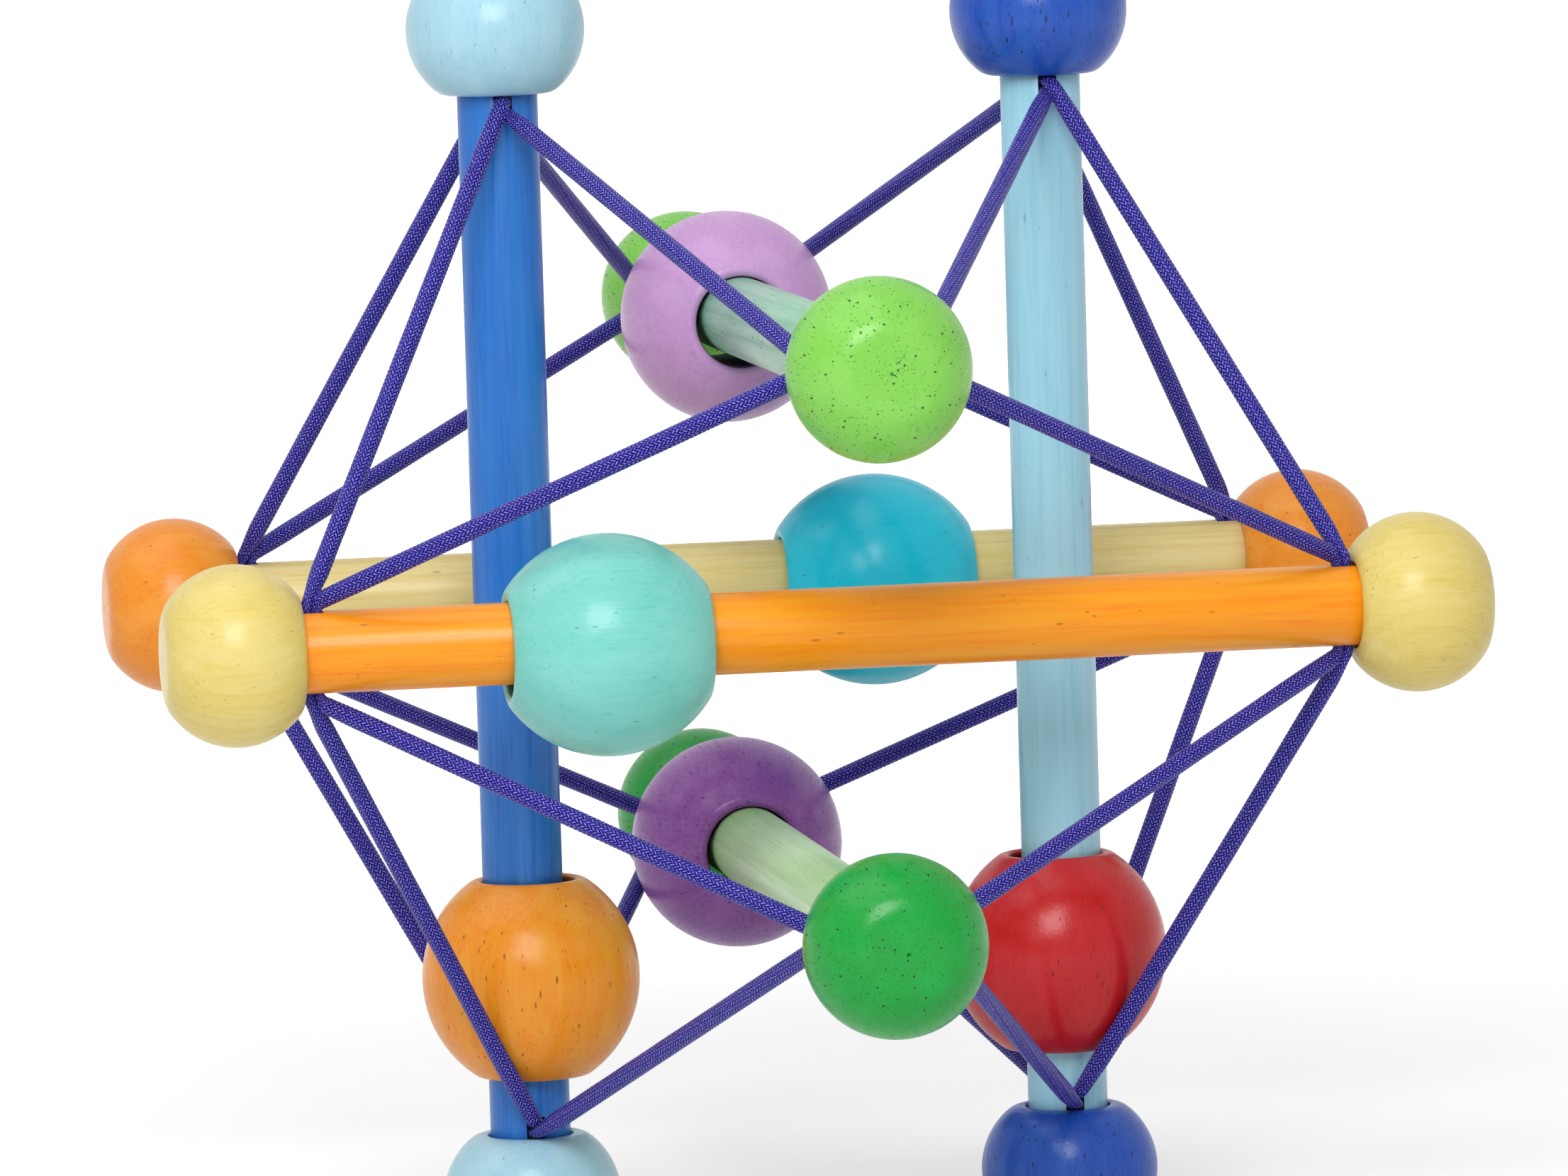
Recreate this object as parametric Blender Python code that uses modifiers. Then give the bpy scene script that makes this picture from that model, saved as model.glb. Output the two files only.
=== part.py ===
"""A squeezable wooden rattle.

Six dowels stand in three square pairs. Six elastic cord loops hold them apart, each
dowel end carries a glued knob, and a loose bead slides on each dowel.

Lengths are in metres, +Z is up, and the origin is the middle of the toy. The upright
pair stands left and right of the middle, the left-to-right pair in front of it and
behind it, and the front-to-back pair above it and below it.
"""

from collections import namedtuple
from math import cos, hypot, pi, radians, sqrt, tan

import bpy
from mathutils import Matrix, Vector

# Driving sizes of the dowels
ROD_DIAMETER = 0.0095
ROD_SPACING = 0.065
MOUTH_SPAN = 0.1234
ROD_END_CHAMFER = 0.0006

# Driving sizes of the turned knobs
KNOB_DIAMETER = 0.0211
KNOB_END_RISE = 0.0085
KNOB_END_FLAT = 0.00974
KNOB_MOUTH_LIP = 0.001485
KNOB_EDGE = 0.0008
SOCKET_DEPTH = 0.0088

# Driving sizes of the turned beads
BEAD_DIAMETER = 0.0258
BEAD_LENGTH = 0.0234
BEAD_BORE = 0.0115
BEAD_MOUTH_LIP = 0.00084
BEAD_EDGE = 0.0007

# Driving size of the elastic cord
CORD_DIAMETER = 0.0022

# The air, or glue, between two pieces that touch
SEAT_GAP = 0.0003

# How far a cutter runs past what it cuts
CUT_OVERRUN = 0.001

# Steps of travel that are tried to find a bead's stop, and where two cords are clear
SEARCH_STEP = 0.00005

# Two points of a turned profile that are closer than this are one
WELD_DISTANCE = 0.00001

# How finely round shapes are cut into flats
ROUND_STEPS = 20
BEAD_STEPS = 24
KNOB_ARC_STEPS = 7
BEAD_ARC_STEPS = 8
CORD_BEVEL_STEPS = 2
BEND_STEP_DEGREES = 18
SPAN_SAMPLES = 120
SHARP_DEGREES = 38

# Sizes that follow from the ones above
ROD_RADIUS = ROD_DIAMETER / 2
ROD_OFFSET = ROD_SPACING / 2
MOUTH = MOUTH_SPAN / 2
ROD_HALF_LENGTH = MOUTH + SOCKET_DEPTH - SEAT_GAP
SOCKET_RADIUS = ROD_RADIUS + SEAT_GAP

# A knob's side is one arc, which passes its widest place and the rim of its end flat.
# An inset is how far in a flat's rim lies from the widest place.
KNOB_RADIUS = KNOB_DIAMETER / 2
KNOB_END_INSET = KNOB_RADIUS - KNOB_END_FLAT / 2
KNOB_SIDE_RADIUS = (KNOB_END_INSET ** 2 + KNOB_END_RISE ** 2) / (2 * KNOB_END_INSET)
KNOB_MOUTH_INSET = KNOB_RADIUS - SOCKET_RADIUS - KNOB_MOUTH_LIP
KNOB_MOUTH_DROP = sqrt(KNOB_MOUTH_INSET * (2 * KNOB_SIDE_RADIUS - KNOB_MOUTH_INSET))
KNOB_CENTRE = MOUTH + KNOB_MOUTH_DROP

# A bead's side is one arc too, from the ring round one mouth to the ring round the other
BEAD_RADIUS = BEAD_DIAMETER / 2
BEAD_HALF_LENGTH = BEAD_LENGTH / 2
BEAD_BORE_RADIUS = BEAD_BORE / 2
BEAD_INSET = BEAD_RADIUS - BEAD_BORE_RADIUS - BEAD_MOUTH_LIP
BEAD_SIDE_RADIUS = (BEAD_INSET ** 2 + BEAD_HALF_LENGTH ** 2) / (2 * BEAD_INSET)
BEAD_FACET_SHARE = cos(pi / BEAD_STEPS)
BEAD_HANG = BEAD_BORE_RADIUS * BEAD_FACET_SHARE - ROD_RADIUS - SEAT_GAP
CORD_RADIUS = CORD_DIAMETER / 2
CORD_BEND = CORD_RADIUS + SEAT_GAP
OWN_SEAT = MOUTH - SEAT_GAP - CORD_RADIUS
PASSING_SEAT = OWN_SEAT - CORD_DIAMETER - SEAT_GAP
SLOT_WIDTH = CORD_DIAMETER + 2 * SEAT_GAP
SLOT_FLOOR = PASSING_SEAT - CORD_RADIUS - SEAT_GAP

# One dowel with its knobs, its bead and its cord loop. along names the axis that it
# lies on and side the side of the middle. ends names its high and low end. The bead's
# place is a share of the way from the middle of the dowel to the bead's stop, and its
# lean is the way that it hangs off the dowel's axis.
Strut = namedtuple("Strut", "name along side ends rod knob bead bead_name place_share lean")

UPRIGHT_ENDS = ("top", "bottom")
CROSSWISE_ENDS = ("right", "left")
DEPTH_ENDS = ("back", "front")

DOWN = (0, 0, -1)
TO_RIGHT = (1, 0, 0)
TO_LEFT = (-1, 0, 0)

STRUTS = (
    Strut("blue", "z", -1, UPRIGHT_ENDS, "#2F6FC6", "#A8D8E6", "#E98F25", "orange_bead", -1, TO_RIGHT),
    Strut("sky", "z", 1, UPRIGHT_ENDS, "#96CDE3", "#2350B0", "#CC2429", "red_bead", -1, TO_LEFT),
    Strut("orange", "x", -1, CROSSWISE_ENDS, "#EE9A22", "#E8D87C", "#7CCFC4", "teal_bead", -0.62, DOWN),
    Strut("yellow", "x", 1, CROSSWISE_ENDS, "#E6D285", "#EE9030", "#1AAFC4", "cyan_bead", 0.39, DOWN),
    Strut("mint", "y", 1, DEPTH_ENDS, "#9CCBB0", "#8DDB5C", "#BC8FC4", "lilac_bead", 0.87, DOWN),
    Strut("pale_green", "y", -1, DEPTH_ENDS, "#B5DBA5", "#12B04A", "#8C529F", "purple_bead", 0.97, DOWN),
)

CORD_COLOUR = "#3B2FA8"
WOOD_ROUGHNESS = 0.38
CORD_ROUGHNESS = 0.8

# The world axes in turn: a dowel's own length, then the way it is set off from the
# middle, then the way the cords run through its slots
AXES_IN_TURN = {"x": "xyz", "y": "yzx", "z": "zxy"}
AXIS_VECTORS = {"x": Vector((1, 0, 0)), "y": Vector((0, 1, 0)), "z": Vector((0, 0, 1))}


def clear_scene():
    """Remove what the file holds, so that a second run gives the same model."""
    for obj in list(bpy.data.objects):
        bpy.data.objects.remove(obj, do_unlink=True)


def new_collection(name):
    """Give a collection of this name, linked to the scene."""
    collection = bpy.data.collections.get(name) or bpy.data.collections.new(name)
    if name not in bpy.context.scene.collection.children:
        bpy.context.scene.collection.children.link(collection)
    return collection


def linear_colour(hex_code):
    """Turn an sRGB hex colour into the linear colour that a shader takes."""
    channels = [int(hex_code[i : i + 2], 16) / 255 for i in (1, 3, 5)]
    return [c / 12.92 if c <= 0.04045 else ((c + 0.055) / 1.055) ** 2.4 for c in channels] + [1]


def set_material(obj, hex_code, roughness):
    """Give an object its own Principled material."""
    material = bpy.data.materials.new(obj.name + "_finish")
    material.use_nodes = True
    shader = material.node_tree.nodes["Principled BSDF"]
    shader.inputs["Base Color"].default_value = linear_colour(hex_code)
    shader.inputs["Roughness"].default_value = roughness
    shader.inputs["Metallic"].default_value = 0
    obj.data.materials.clear()
    obj.data.materials.append(material)


def settle(obj):
    """Make an object's modifiers part of its mesh, and shade its round faces smooth."""
    bpy.context.view_layer.update()
    evaluated = obj.evaluated_get(bpy.context.evaluated_depsgraph_get())
    mesh = bpy.data.meshes.new_from_object(evaluated)
    obj.modifiers.clear()
    obj.data = mesh
    mesh.name = obj.name
    mesh.shade_smooth()
    mesh.set_sharp_from_angle(angle=radians(SHARP_DEGREES))


def turned(name, profile, steps, closed, collection):
    """Turn a profile of (radius, height) points about the Z axis."""
    points = [(radius, 0, height) for radius, height in profile]
    edges = [(i, i + 1) for i in range(len(points) - 1)]
    if closed:
        edges.append((len(points) - 1, 0))
    mesh = bpy.data.meshes.new(name)
    mesh.from_pydata(points, edges, [])
    obj = bpy.data.objects.new(name, mesh)
    collection.objects.link(obj)
    screw = obj.modifiers.new("turn", "SCREW")
    screw.steps = steps
    screw.render_steps = steps
    screw.use_merge_vertices = True
    screw.merge_threshold = WELD_DISTANCE
    return obj


def side_radius(widest, side, height):
    """The radius of a turned side at a height from its widest place."""
    return widest - side + sqrt(side * side - height * height)


def side_arc(widest, side, high, low, steps):
    """Points down the outer side of a turned piece, from its high to its low end."""
    heights = [high + (low - high) * i / steps for i in range(steps + 1)]
    return [(side_radius(widest, side, height), height) for height in heights]


def knob_profile():
    """A knob's profile about its widest place, from its closed end down to its socket."""
    high = KNOB_END_RISE
    low = -KNOB_MOUTH_DROP
    arc = side_arc(KNOB_RADIUS, KNOB_SIDE_RADIUS, high - KNOB_EDGE, low + KNOB_EDGE, KNOB_ARC_STEPS)
    end_flat = (KNOB_END_FLAT - KNOB_EDGE) / 2
    mouth_flat = SOCKET_RADIUS + KNOB_MOUTH_LIP - KNOB_EDGE / 2
    floor = low + SOCKET_DEPTH
    outside = [(0, high), (end_flat, high)] + arc + [(mouth_flat, low)]
    return outside + [(SOCKET_RADIUS, low), (SOCKET_RADIUS, floor), (0, floor)]


def bead_profile():
    """A bead's profile about its middle: down its side and back up its bore."""
    half = BEAD_HALF_LENGTH
    arc = side_arc(BEAD_RADIUS, BEAD_SIDE_RADIUS, half - BEAD_EDGE, BEAD_EDGE - half, BEAD_ARC_STEPS)
    flat = BEAD_BORE_RADIUS + BEAD_MOUTH_LIP - BEAD_EDGE / 2
    lip = BEAD_BORE_RADIUS + BEAD_EDGE / 2
    outside = [(flat, half)] + arc + [(flat, -half)]
    bore = [(BEAD_BORE_RADIUS, BEAD_EDGE - half), (BEAD_BORE_RADIUS, half - BEAD_EDGE)]
    return outside + [(lip, -half)] + bore + [(lip, half)]


def rod_profile():
    """A dowel's profile about its middle, with a small chamfer on each end."""
    neck = ROD_RADIUS - ROD_END_CHAMFER
    shoulder = ROD_HALF_LENGTH - ROD_END_CHAMFER
    upper = [(0, ROD_HALF_LENGTH), (neck, ROD_HALF_LENGTH), (ROD_RADIUS, shoulder)]
    return upper + [(radius, -height) for radius, height in reversed(upper)]


def strut_axes(strut):
    """The world vectors of a dowel's length, of its set-off, and of its slots."""
    return [AXIS_VECTORS[letter] for letter in AXES_IN_TURN[strut.along]]


def strut_frame(strut, collection):
    """An empty on the dowel's axis: local Z runs along it, and local Y along its slots."""
    length, off, slot = strut_axes(strut)
    frame = bpy.data.objects.new(strut.name + "_rod_frame", None)
    frame.empty_display_size = ROD_RADIUS
    collection.objects.link(frame)
    turn = Matrix((off, slot, length)).transposed().to_4x4()
    frame.matrix_world = Matrix.Translation(off * strut.side * ROD_OFFSET) @ turn
    return frame


def slot_cutter(strut, frame, end, collection):
    """A block that saws the cords' slot into one end of a dowel."""
    height = ROD_HALF_LENGTH + CUT_OVERRUN - SLOT_FLOOR
    bpy.ops.mesh.primitive_cube_add(size=1)
    cutter = bpy.context.active_object
    cutter.name = "%s_slot_%d_cutter" % (strut.name, end)
    for vertex in cutter.data.vertices:
        vertex.co.x *= SLOT_WIDTH
        vertex.co.y *= ROD_DIAMETER + CUT_OVERRUN
        vertex.co.z *= height
    for owner in list(cutter.users_collection):
        owner.objects.unlink(cutter)
    collection.objects.link(cutter)
    cutter.parent = frame
    cutter.location.z = end * (SLOT_FLOOR + height / 2)
    cutter.hide_render = True
    cutter.display_type = "WIRE"
    return cutter


def add_rod(strut, frame, collection, cutters):
    """The dowel, with a slot across each end for the two cords that pass there."""
    rod = turned(strut.name + "_rod", rod_profile(), ROUND_STEPS, False, collection)
    rod.parent = frame
    for end in (1, -1):
        cut = rod.modifiers.new("slot", "BOOLEAN")
        cut.object = slot_cutter(strut, frame, end, cutters)
        cut.operation = "DIFFERENCE"
        cut.solver = "EXACT"
    settle(rod)
    set_material(rod, strut.rod, WOOD_ROUGHNESS)


def add_knobs(strut, frame, collection):
    """The two knobs, each with its socket towards the middle of the dowel."""
    for end, end_name in zip((1, -1), strut.ends):
        name = "%s_rod_%s_knob" % (strut.name, end_name)
        knob = turned(name, knob_profile(), ROUND_STEPS, False, collection)
        knob.parent = frame
        knob.location.z = end * KNOB_CENTRE
        knob.rotation_euler.y = 0 if end > 0 else pi
        settle(knob)
        set_material(knob, strut.knob, WOOD_ROUGHNESS)


def strut_lean(strut):
    """How far a bead hangs off its dowel's axis, along local X and Y."""
    off, slot = strut_axes(strut)[1:]
    lean = Vector(strut.lean) * BEAD_HANG
    return Vector((lean.dot(off), lean.dot(slot)))


def add_bead(strut, frame, collection):
    """The loose bead, hanging off the dowel's axis by the play in its bore."""
    bead = turned(strut.bead_name, bead_profile(), BEAD_STEPS, True, collection)
    bead.parent = frame
    lean = strut_lean(strut)
    stop = bead_stop(lean)
    place = strut.place_share * stop
    bead.location = (lean.x, lean.y, place)
    settle(bead)
    set_material(bead, strut.bead, WOOD_ROUGHNESS)
    print("%s at %.5f travels %.5f to %.5f" % (strut.bead_name, place, -stop - place, stop - place))


def natural_reach(along):
    """How far from a dowel's axis a cord's corner lies, so that its bend starts where the
    cord leaves the slot along the given axis."""
    here = Vector((ROD_OFFSET, ROD_RADIUS, OWN_SEAT))
    there = Vector((PASSING_SEAT, ROD_OFFSET, ROD_RADIUS))
    turn = (there - here).angle(AXIS_VECTORS[along])
    return ROD_RADIUS + CORD_BEND * tan(min(turn, pi - turn) / 2)


def own_span(own_reach):
    """A span of a dowel's own loop, from a slot of the dowel to a neighbour's. Both points
    are (off, slot, length) from the middle of the toy, all counted as positive."""
    there = Vector((PASSING_SEAT, ROD_OFFSET, natural_reach("z")))
    return Vector((ROD_OFFSET, own_reach, OWN_SEAT)), there


def passing_span(own_reach):
    """A span of the loop that passes through a dowel's slot under the dowel's own, in the
    same terms as own_span."""
    here = Vector((ROD_OFFSET, natural_reach("z"), PASSING_SEAT))
    return here, Vector((own_reach, OWN_SEAT, ROD_OFFSET))


def samples_along(span):
    """Points along the first half of a span."""
    start, finish = span
    return [start.lerp(finish, i / SPAN_SAMPLES / 2) for i in range(SPAN_SAMPLES)]


def crossing_reach():
    """The reach of a dowel's own cord, which bends down over the cord that passes under it
    and clears that cord by the seat gap."""
    reach = natural_reach("y")
    below = samples_along(passing_span(reach))
    clearance = CORD_DIAMETER + SEAT_GAP
    while least_distance(samples_along(own_span(reach)), below) < clearance:
        reach += SEARCH_STEP
    return reach


def least_distance(points, others):
    """The least distance between two lists of points."""
    return min((point - other).length for point in points for other in others)


def bead_stop(lean):
    """How far a bead travels from the middle before its side meets the cords that spread
    from the slot there."""
    own_reach = crossing_reach()
    samples = []
    for point in samples_along(own_span(own_reach)) + samples_along(passing_span(own_reach)):
        for mirror in ((1, 1), (1, -1), (-1, 1), (-1, -1)):
            across = (point.x - ROD_OFFSET) * mirror[0]
            samples.append((across, point.y * mirror[1], point.z))
    clearance = CORD_RADIUS + SEAT_GAP
    stop = PASSING_SEAT
    while stop > 0 and min(bead_distance(s, lean, stop) for s in samples) < clearance:
        stop -= SEARCH_STEP
    return stop


def bead_distance(point, lean, place):
    """The distance from a point to the round side of a bead at a place on its dowel."""
    radius = hypot(point[0] - lean.x, point[1] - lean.y)
    middle = BEAD_RADIUS - BEAD_SIDE_RADIUS
    return hypot(radius - middle, point[2] - place) - BEAD_SIDE_RADIUS


def cord_corners(strut):
    """The corners of the loop that goes round both ends of a dowel.

    At each end the cord lies in the dowel's slot, against the knob. On its way down each
    side it passes through the near end of a dowel of the next pair, under that one's cord.
    """
    length, off, slot = strut_axes(strut)
    own_reach = crossing_reach()
    passing_reach = natural_reach("z")

    def own(end, front):
        away = off * strut.side * ROD_OFFSET
        return length * end * OWN_SEAT + away + slot * front * own_reach

    def passing(end, front):
        away = slot * front * ROD_OFFSET
        return off * strut.side * PASSING_SEAT + away + length * end * passing_reach

    first = [own(1, 1), passing(1, 1), passing(-1, 1), own(-1, 1)]
    return first + [own(-1, -1), passing(-1, -1), passing(1, -1), own(1, -1)]


def rounded_loop(corners, radius):
    """Points of a closed loop whose corners are arcs of one radius."""
    points = []
    count = len(corners)
    for i, corner in enumerate(corners):
        before = (corners[i - 1] - corner).normalized()
        after = (corners[(i + 1) % count] - corner).normalized()
        turn = pi - before.angle(after)
        inward = (before + after).normalized()
        centre = corner + inward * radius / cos(turn / 2)
        steps = max(2, round(turn / radians(BEND_STEP_DEGREES)))
        start = (corner + before * radius * tan(turn / 2) - centre).normalized()
        finish = (corner + after * radius * tan(turn / 2) - centre).normalized()
        arc = [start.slerp(finish, step / steps) for step in range(steps + 1)]
        points += [centre + spoke * radius for spoke in arc]
    return points


def add_cord(strut, collection):
    """The elastic loop of one dowel, as one closed tube."""
    points = rounded_loop(cord_corners(strut), CORD_BEND)
    curve = bpy.data.curves.new(strut.name + "_rod_cord_loop", "CURVE")
    curve.dimensions = "3D"
    curve.bevel_depth = CORD_RADIUS
    curve.bevel_resolution = CORD_BEVEL_STEPS
    curve.use_fill_caps = True
    spline = curve.splines.new("POLY")
    spline.points.add(len(points) - 1)
    for spot, point in zip(spline.points, points):
        spot.co = (*point, 1)
    spline.use_cyclic_u = True
    cord = bpy.data.objects.new(curve.name, curve)
    collection.objects.link(cord)
    set_material(cord, CORD_COLOUR, CORD_ROUGHNESS)


def main():
    """Build the rattle, one dowel with all that is on it at a time."""
    clear_scene()
    pieces = new_collection("wooden_rattle")
    cutters = new_collection("cutters")
    for strut in STRUTS:
        frame = strut_frame(strut, pieces)
        add_rod(strut, frame, pieces, cutters)
        add_knobs(strut, frame, pieces)
        add_bead(strut, frame, pieces)
        add_cord(strut, pieces)


main()
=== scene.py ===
"""The looks of a squeezable wooden rattle, built round its packed frame.

Six dowels stand in three square pairs, held apart by six loops of braided elastic
cord. Each dowel carries a turned knob at either end and a loose bead.

Lengths are in metres, +Z is up, and the origin is the middle of the toy.
"""

from collections import namedtuple
from functools import partial
from math import asin, cos, pi, radians, sin, sqrt, tan

import bpy
import numpy as np
from bpy.props import FloatProperty, FloatVectorProperty, IntProperty, PointerProperty
from mathutils import Matrix, Vector


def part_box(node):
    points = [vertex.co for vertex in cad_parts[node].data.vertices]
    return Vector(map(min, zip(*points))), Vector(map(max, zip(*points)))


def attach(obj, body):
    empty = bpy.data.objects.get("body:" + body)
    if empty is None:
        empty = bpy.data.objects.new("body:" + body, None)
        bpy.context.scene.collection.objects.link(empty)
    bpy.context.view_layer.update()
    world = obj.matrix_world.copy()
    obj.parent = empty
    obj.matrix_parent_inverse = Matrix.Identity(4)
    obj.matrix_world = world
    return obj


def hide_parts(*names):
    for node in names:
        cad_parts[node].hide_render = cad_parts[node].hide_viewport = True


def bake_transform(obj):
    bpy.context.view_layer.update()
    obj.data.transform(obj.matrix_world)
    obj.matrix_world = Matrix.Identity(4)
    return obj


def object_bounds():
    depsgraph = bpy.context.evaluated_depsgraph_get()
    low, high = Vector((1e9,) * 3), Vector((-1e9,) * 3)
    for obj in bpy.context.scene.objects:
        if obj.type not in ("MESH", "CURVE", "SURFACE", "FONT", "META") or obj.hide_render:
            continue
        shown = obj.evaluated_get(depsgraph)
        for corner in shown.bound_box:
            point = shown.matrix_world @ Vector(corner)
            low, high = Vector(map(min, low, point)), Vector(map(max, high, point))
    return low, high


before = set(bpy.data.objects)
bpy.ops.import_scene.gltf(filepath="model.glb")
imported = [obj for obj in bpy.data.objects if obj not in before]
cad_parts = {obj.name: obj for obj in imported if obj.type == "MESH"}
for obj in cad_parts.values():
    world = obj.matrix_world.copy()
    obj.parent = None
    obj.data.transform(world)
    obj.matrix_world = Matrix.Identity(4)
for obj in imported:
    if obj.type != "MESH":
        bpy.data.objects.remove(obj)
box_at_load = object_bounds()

bl_info = {
    "name": "Wooden rattle",
    "version": (1, 0, 0),
    "blender": (4, 5, 0),
    "location": "3D View > Sidebar > Rattle",
    "description": "Models a wooden rattle of dowels, knobs, beads and elastic cord",
    "category": "Mesh",
}

# The frame's own sizes, which the finer pieces keep
ROD_LOW, ROD_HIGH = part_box("blue_rod")
KNOB_LOW, KNOB_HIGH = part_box("blue_rod_top_knob")
BEAD_LOW, BEAD_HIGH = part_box("orange_bead")
PAIR_LOW, PAIR_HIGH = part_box("sky_rod")

MILLIMETRE = 0.001

# Turned and sawn pieces
WELD_DISTANCE = 0.004 * MILLIMETRE  # points nearer to each other become one
SMOOTH_DEGREES = 35  # a sharper edge stays sharp
SIDES = 96  # flats round a piece
ARC_STEPS = 22  # down a piece's side
EDGE_SEGMENTS = 2  # across a small edge
BORE_SEGMENTS = 3  # across the rim of a bead's bore
LIP_SEGMENTS = 4  # across the rim of a bead's flat ring
RIM_SEGMENTS = 6  # across a knob's rims
KNOB_STOP = 1.2  # widths of its rounding that a knob's side stops short of the mouth
BEAD_STOP = 1.3  # the same on a bead
CROWN_SHARES = (0.2, 0.4, 0.6)  # points of a flat end's swell, as shares of its radius

# Cords
ARC_POINTS = 24  # in a bend
CONTACT_STEPS = 400  # places tried for where a bead touches
RINGS_PER_STITCH = 4
STITCH_SLANT = 0.95  # stitches that a stitch slants by, across its column
STRAND_DIP = 0.35  # share of the relief left between two stitches
STRAND_MEAN = 0.6  # share of the relief that lies inside the cord's diameter
HALF_GAP = 0.05 * MILLIMETRE  # from the toy's middle to a half loop's end
SKEW = (0.3, 0.5, 0.8)  # a way that no cord runs, for the first normal

# Millimetres by which the grain moves on from dowel to dowel, and between a dowel's two
# ends, so that no two pieces are cut alike
DOWEL_SEED = Vector((31, 17, 53))
KNOB_SEED = Vector((23, 41, 11))
KNOB_END_SEED = Vector((7, 0, 90))
BEAD_SEED = Vector((13, 29, 37))

# Lamps and camera
KEY_DISTANCE = 0.7
KEY_RISE = radians(27)  # from the camera's own line, seen from the toy
KEY_LEFT = 0.08  # set to the left, where the distance is 1
TOP_DISTANCE = 0.9
TOP_BACK = 0.25  # set towards the camera, where the height is 1
TOP_LEFT = 0.45
TARGET_X = -0.07 * MILLIMETRE  # where the camera looks
SENSOR_WIDTH = 36
CLIP_END = 100

# One dowel with its knobs and its bead. along is the axis that it lies on and side the
# side of the middle. ends names its high and low end, and body is what the dowel rides on.
Strut = namedtuple("Strut", "name along side ends body rod_slot knob_slot bead bead_slot")

STRUTS = (
    Strut("blue", "z", -1, ("top", "bottom"), "blue_rod_group",
          "blue_wood", "light_blue_wood", "orange_bead", "amber_wood"),
    Strut("sky", "z", 1, ("top", "bottom"), "sky_rod_group",
          "sky_wood", "royal_blue_wood", "red_bead", "red_wood"),
    Strut("orange", "x", -1, ("right", "left"), "rod_frame",
          "orange_wood", "pale_yellow_wood", "teal_bead", "teal_wood"),
    Strut("yellow", "x", 1, ("right", "left"), "rod_frame",
          "cream_yellow_wood", "deep_orange_wood", "cyan_bead", "cyan_wood"),
    Strut("mint", "y", 1, ("back", "front"), "rod_frame",
          "mint_wood", "lime_wood", "lilac_bead", "lilac_wood"),
    Strut("pale_green", "y", -1, ("back", "front"), "rod_frame",
          "pale_green_wood", "green_wood", "purple_bead", "purple_wood"),
)

# The world axes in turn: a dowel's own length, then the way it is set off from the
# middle, then the way the cords run through its slots
AXES_IN_TURN = {"x": "xyz", "y": "yzx", "z": "zxy"}
AXIS_VECTORS = {"x": Vector((1, 0, 0)), "y": Vector((0, 1, 0)), "z": Vector((0, 0, 1))}

# The dowel ends, as (along, end), whose own cord lies outside the passing one, and those
# where a bead leans on the cords at rest
OUTER_OWN = ("z", 1)
LEANING_BEADS = (("z", -1), ("y", 1))

# A stain's colour and how it lies on its wood. streaks is how far the grain deepens and
# thins it, pores how many open pores show, pit how dark they are, ripple how strongly the
# growth rings show, warmth how much of the bare wood's own brown comes through, and torn
# how rough the end grain is about the lathe's centre.
Stain = namedtuple("Stain", "colour streaks pores pit ripple warmth torn")

STAINS = {
    "blue_wood": Stain("#2472C8", 0.45, 0.00, 0.30, 0.15, 0.00, 0.00),
    "light_blue_wood": Stain("#A5D2E3", 0.40, 0.15, 0.35, 0.00, 0.00, 0.15),
    "amber_wood": Stain("#EF931A", 0.60, 0.45, 0.60, 0.00, 0.05, 0.00),
    "sky_wood": Stain("#A2D7EA", 0.50, 0.00, 0.30, 0.25, 0.00, 0.00),
    "royal_blue_wood": Stain("#1A4FB4", 0.45, 0.80, 0.80, 0.00, 0.00, 0.30),
    "red_wood": Stain("#C0151A", 0.45, 0.50, 0.70, 0.00, 0.00, 0.00),
    "orange_wood": Stain("#FA9A08", 0.55, 0.08, 0.45, 0.30, 0.05, 0.00),
    "pale_yellow_wood": Stain("#E3CD74", 0.50, 0.15, 0.30, 0.20, 0.15, 0.10),
    "teal_wood": Stain("#7CD2C8", 0.40, 0.25, 0.35, 0.00, 0.00, 0.00),
    "cream_yellow_wood": Stain("#E4CF88", 0.55, 0.05, 0.40, 0.35, 0.25, 0.00),
    "deep_orange_wood": Stain("#EE9020", 0.50, 0.30, 0.50, 0.00, 0.05, 0.20),
    "cyan_wood": Stain("#12C8E0", 0.45, 0.20, 0.50, 0.00, 0.00, 0.00),
    "mint_wood": Stain("#8AC6A6", 0.95, 0.25, 0.70, 0.55, 0.06, 0.00),
    "lime_wood": Stain("#7FCB4E", 0.30, 1.00, 0.88, 0.00, 0.00, 0.50),
    "lilac_wood": Stain("#CA9AD0", 0.40, 0.00, 0.30, 0.00, 0.00, 0.00),
    "pale_green_wood": Stain("#B6E0A2", 0.65, 0.10, 0.50, 0.40, 0.05, 0.00),
    "green_wood": Stain("#029C35", 0.35, 0.90, 0.85, 0.00, 0.00, 0.45),
    "purple_wood": Stain("#8E52A3", 0.55, 0.90, 0.65, 0.05, 0.00, 0.00),
}


def linear_colour(hex_code):
    """Turn an sRGB hex colour into the linear colour that a shader takes."""
    channels = [int(hex_code[i : i + 2], 16) / 255 for i in (1, 3, 5)]
    return [c / 12.92 if c <= 0.04045 else ((c + 0.055) / 1.055) ** 2.4 for c in channels]


def a_size(name, description, default):
    """A length that a user may change."""
    return FloatProperty(name=name, description=description, default=default,
                         min=0, precision=5, unit="LENGTH")


def an_angle(name, description, degrees):
    """An angle that a user may change."""
    return FloatProperty(name=name, description=description, default=radians(degrees),
                         unit="ROTATION")


def a_level(name, description, default):
    """A power, a strength or a share that a user may change."""
    return FloatProperty(name=name, description=description, default=default, min=0)


def a_count(name, description, default):
    """A number of flats or columns that a user may change."""
    return IntProperty(name=name, description=description, default=default, min=4)


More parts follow.
